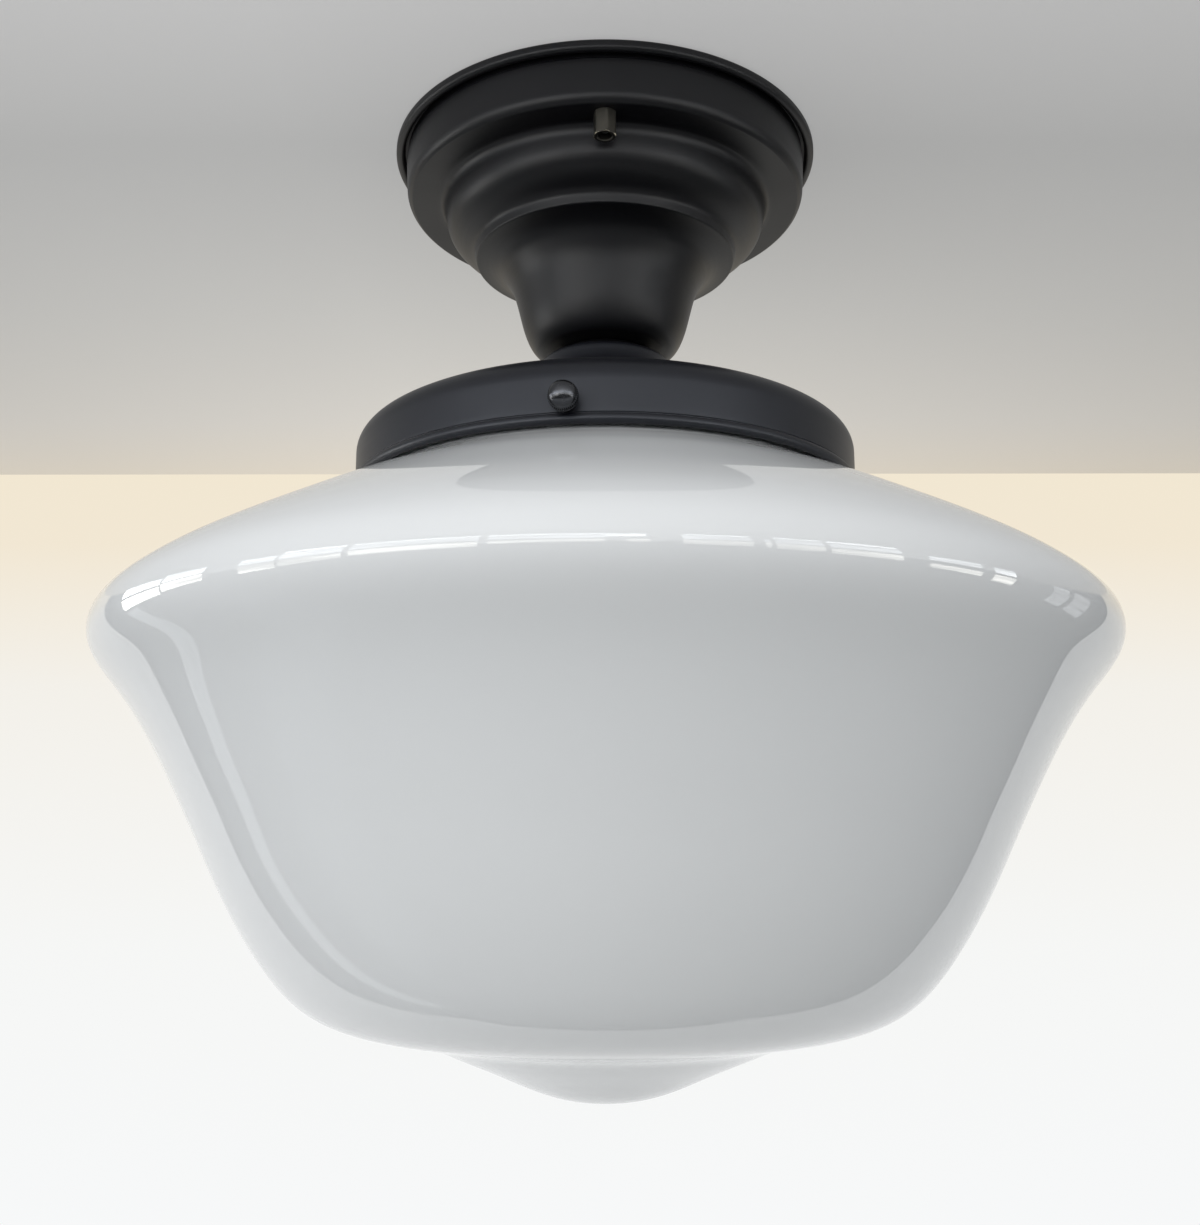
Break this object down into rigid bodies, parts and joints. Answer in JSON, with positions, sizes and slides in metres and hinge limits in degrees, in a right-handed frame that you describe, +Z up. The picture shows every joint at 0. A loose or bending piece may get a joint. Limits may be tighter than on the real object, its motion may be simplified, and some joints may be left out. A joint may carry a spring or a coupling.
{
  "type": "semi flush ceiling light",
  "caption": "Semi flush ceiling light: stepped dark metal canopy, screw-held shade holder and flared opal glass shade over a screw-base bulb.",
  "frame": {"origin": "centre of the fixture on the ceiling plane, at the upper face of the crossbar", "axes": "+Z up into the ceiling, the light hangs at negative z; Y along the crossbar and the two canopy nuts; -Y is the front"},
  "size_m": [0.3048, 0.3048, 0.3],
  "materials": {
    "dark_bronze_metal": "satin, nearly black, with a faint warm sheen",
    "opal_glass": "glossy milk white, opaque",
    "screw_black": "polished black nickel",
    "nut_bronze": "dark bronze with bright worn edges",
    "zinc_steel": "zinc plated, dull",
    "brass": "plain brass",
    "ground_green": "green plated",
    "porcelain": "glazed white porcelain",
    "lead_black": "black insulation",
    "lead_white": "white insulation",
    "lead_green": "green insulation",
    "connector_orange": "moulded, ribbed",
    "bulb_frost": "frosted",
    "bulb_alu": "rolled aluminium",
    "bulb_black_glass": "black glass insulator",
    "solder": "soldered contact"
  },
  "bodies": {
    "ceiling_bar": {"crossbar": "zinc_steel", "canopy_studs": "zinc_steel", "stud_locknuts": "zinc_steel", "ground_screw": "ground_green"},
    "canopy": {"canopy_shell": "dark_bronze_metal", "nipple": "zinc_steel", "nipple_top_nut": "brass", "nipple_lock_washer": "zinc_steel", "ground_ring_washer": "zinc_steel", "ground_lug": "brass", "neck_spacer": "dark_bronze_metal", "shade_holder": "dark_bronze_metal", "holder_lock_nut": "brass", "thumbscrew_bosses": "screw_black", "lampholder_cap": "porcelain", "cap_set_screw": "zinc_steel", "lampholder_body": "porcelain", "screw_shell": "brass", "centre_contact": "brass", "terminal_screws": "brass", "terminal_plates": "brass", "lampholder_screws": "zinc_steel", "hot_lead": "lead_black", "neutral_lead": "lead_white", "ground_lead": "lead_green", "wire_connectors": "connector_orange"},
    "front_nut": {"canopy_nut_front": "nut_bronze"},
    "back_nut": {"canopy_nut_back": "nut_bronze"},
    "shade": {"glass_shade": "opal_glass"},
    "bulb": {"bulb_glass": "bulb_frost", "bulb_base": "bulb_alu", "bulb_insulator": "bulb_black_glass", "bulb_contact": "solder"},
    "thumbscrew_1": {"thumbscrew_shank_1": "screw_black"},
    "thumbscrew_1_head": {"thumbscrew_head_1": "screw_black"},
    "thumbscrew_2": {"thumbscrew_shank_2": "screw_black"},
    "thumbscrew_2_head": {"thumbscrew_head_2": "screw_black"},
    "thumbscrew_3": {"thumbscrew_shank_3": "screw_black"},
    "thumbscrew_3_head": {"thumbscrew_head_3": "screw_black"}
  },
  "joints": [
    {"name": "canopy_lower", "type": "slide", "parent": "ceiling_bar", "child": "canopy", "axis": [0, 0, -1], "range_m": [0, 0.01]},
    {"name": "front_nut_turn", "type": "hinge", "parent": "canopy", "child": "front_nut", "pos_m": [0, -0.0587, -0.021], "axis": [0, 0, -1], "range_deg": [0, 4560]},
    {"name": "back_nut_turn", "type": "hinge", "parent": "canopy", "child": "back_nut", "pos_m": [0, 0.0587, -0.021], "axis": [0, 0, -1], "range_deg": [0, 4560]},
    {"name": "shade_lower", "type": "slide", "parent": "canopy", "child": "shade", "axis": [0, 0, -1], "range_m": [0, 0.0215]},
    {"name": "bulb_out", "type": "slide", "parent": "canopy", "child": "bulb", "axis": [0, 0, -1], "range_m": [0, 0.024]},
    {"name": "thumbscrew_1_travel", "type": "slide", "parent": "canopy", "child": "thumbscrew_1", "axis": [-0.1305, -0.9914, 0], "range_m": [0, 0.0065]},
    {"name": "thumbscrew_1_turn", "type": "hinge", "parent": "thumbscrew_1", "child": "thumbscrew_1_head", "pos_m": [-0.01096, -0.08328, -0.113], "axis": [-0.1305, -0.9914, 0], "range_deg": [0, 2900]},
    {"name": "thumbscrew_2_travel", "type": "slide", "parent": "canopy", "child": "thumbscrew_2", "axis": [0.9239, 0.3827, 0], "range_m": [0, 0.0065]},
    {"name": "thumbscrew_2_turn", "type": "hinge", "parent": "thumbscrew_2", "child": "thumbscrew_2_head", "pos_m": [0.07761, 0.03214, -0.113], "axis": [0.9239, 0.3827, 0], "range_deg": [0, 2900]},
    {"name": "thumbscrew_3_travel", "type": "slide", "parent": "canopy", "child": "thumbscrew_3", "axis": [-0.7934, 0.6088, 0], "range_m": [0, 0.0065]},
    {"name": "thumbscrew_3_turn", "type": "hinge", "parent": "thumbscrew_3", "child": "thumbscrew_3_head", "pos_m": [-0.06664, 0.05114, -0.113], "axis": [-0.7934, 0.6088, 0], "range_deg": [0, 2900]}
  ],
  "couplings": [
    {"joint": "front_nut_turn", "follows": "canopy_lower", "rad_per_m": 7913.3},
    {"joint": "back_nut_turn", "follows": "canopy_lower", "rad_per_m": 7913.3},
    {"joint": "thumbscrew_1_travel", "follows": "shade_lower", "ratio": 0.295},
    {"joint": "thumbscrew_1_turn", "follows": "shade_lower", "rad_per_m": 2334.4},
    {"joint": "thumbscrew_2_travel", "follows": "shade_lower", "ratio": 0.295},
    {"joint": "thumbscrew_2_turn", "follows": "shade_lower", "rad_per_m": 2334.4},
    {"joint": "thumbscrew_3_travel", "follows": "shade_lower", "ratio": 0.295},
    {"joint": "thumbscrew_3_turn", "follows": "shade_lower", "rad_per_m": 2334.4}
  ]
}
